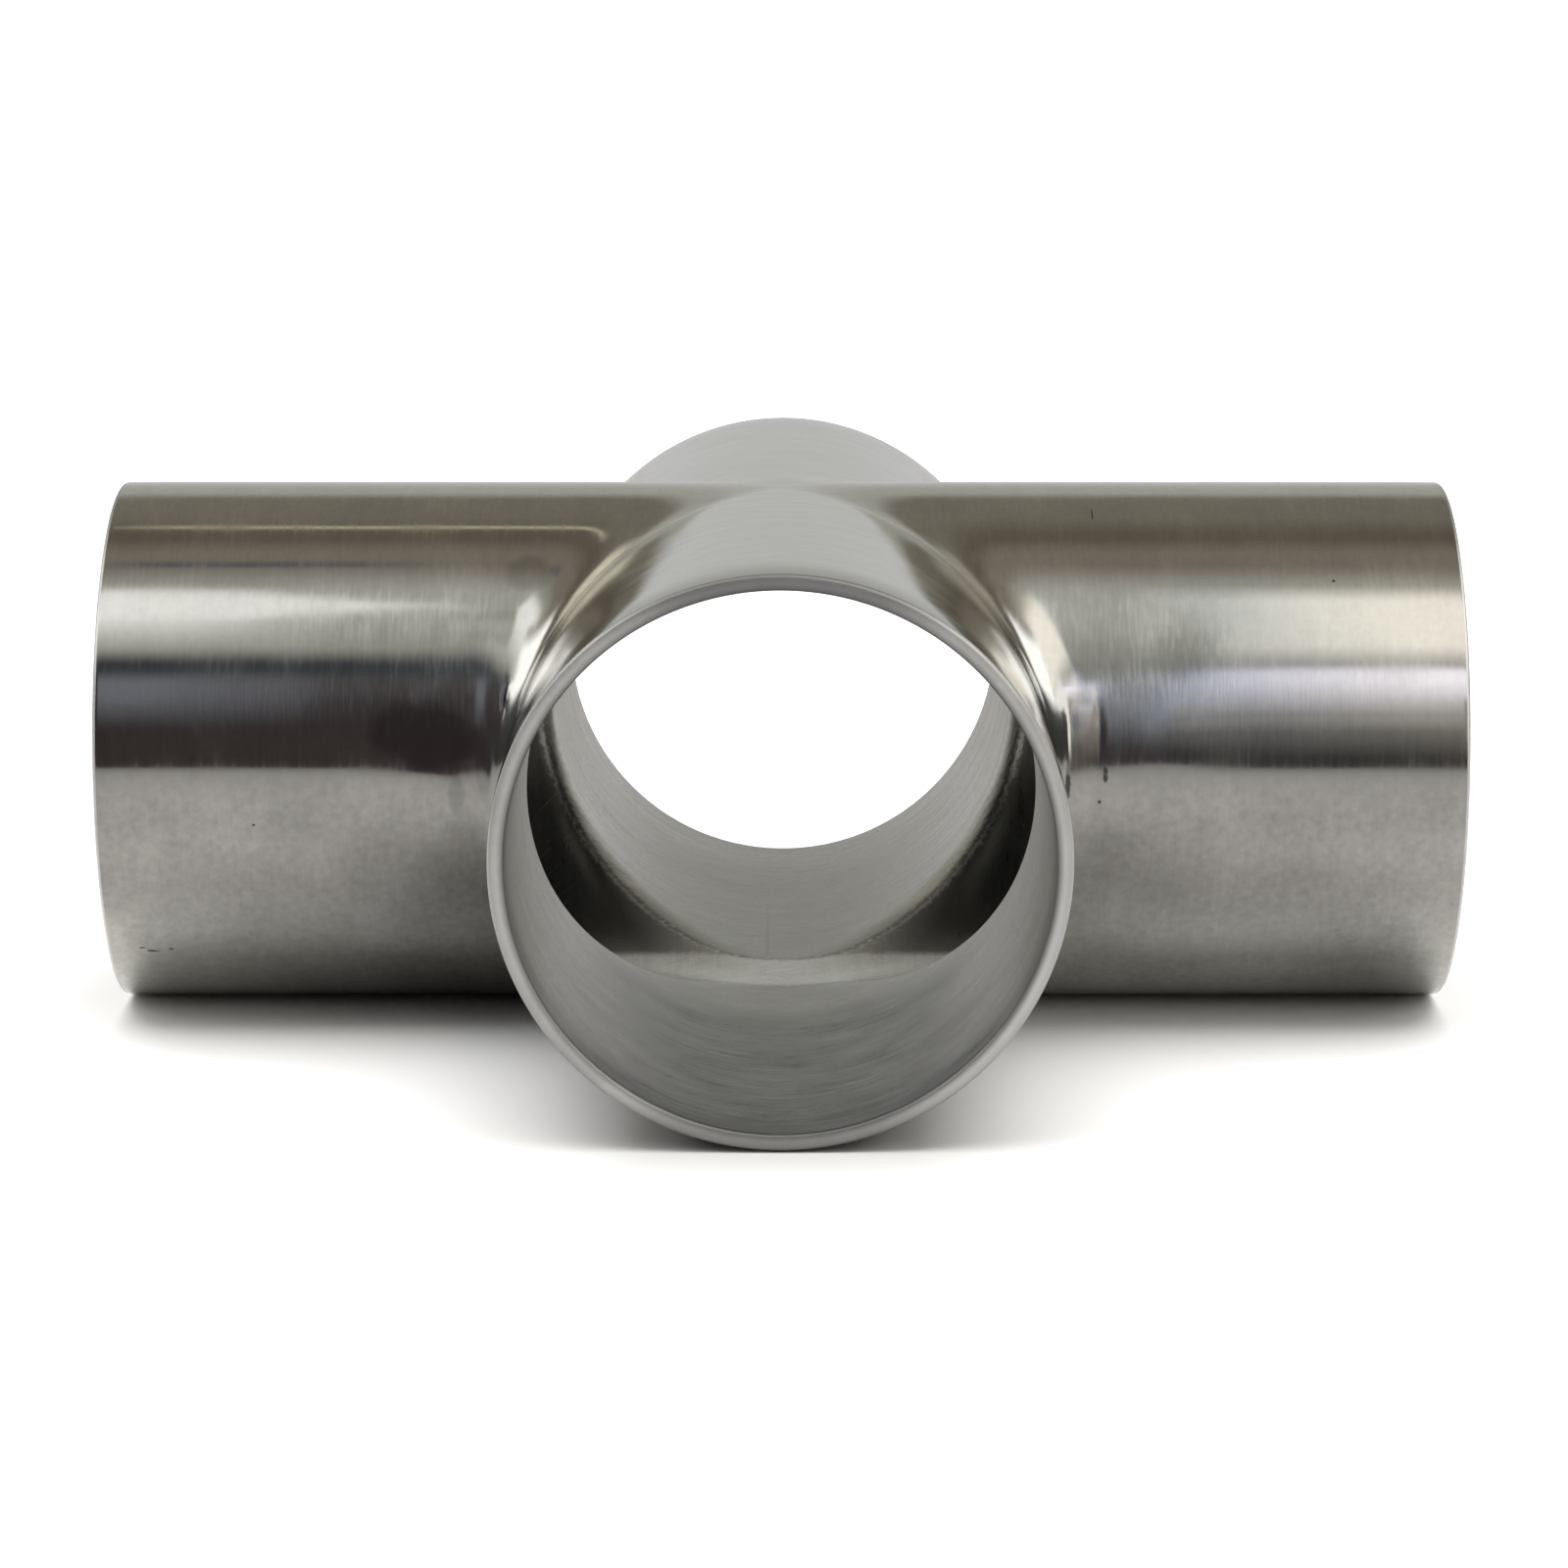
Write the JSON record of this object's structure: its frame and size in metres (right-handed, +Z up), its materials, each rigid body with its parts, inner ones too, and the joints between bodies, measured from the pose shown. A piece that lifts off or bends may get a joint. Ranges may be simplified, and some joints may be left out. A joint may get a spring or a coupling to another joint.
{
  "type": "butt-weld cross",
  "caption": "Equal cross fitting for thin-wall round tube: open arms meet at right angles with rounded crotches, and their square ends are butt welded to tube.",
  "frame": {"origin": "the point where the axes of the run and the branch cross, at mid-height of the part", "axes": "+X along the run, +Y along the branch, +Z up, square to both tubes"},
  "size_m": [0.097, 0.097, 0.038],
  "materials": {
    "stainless": "satin polished stainless steel, with fine polishing lines round the arms and a duller band in the bore"
  },
  "bodies": {
    "root": {"cross_body": "stainless"}
  },
  "joints": []
}
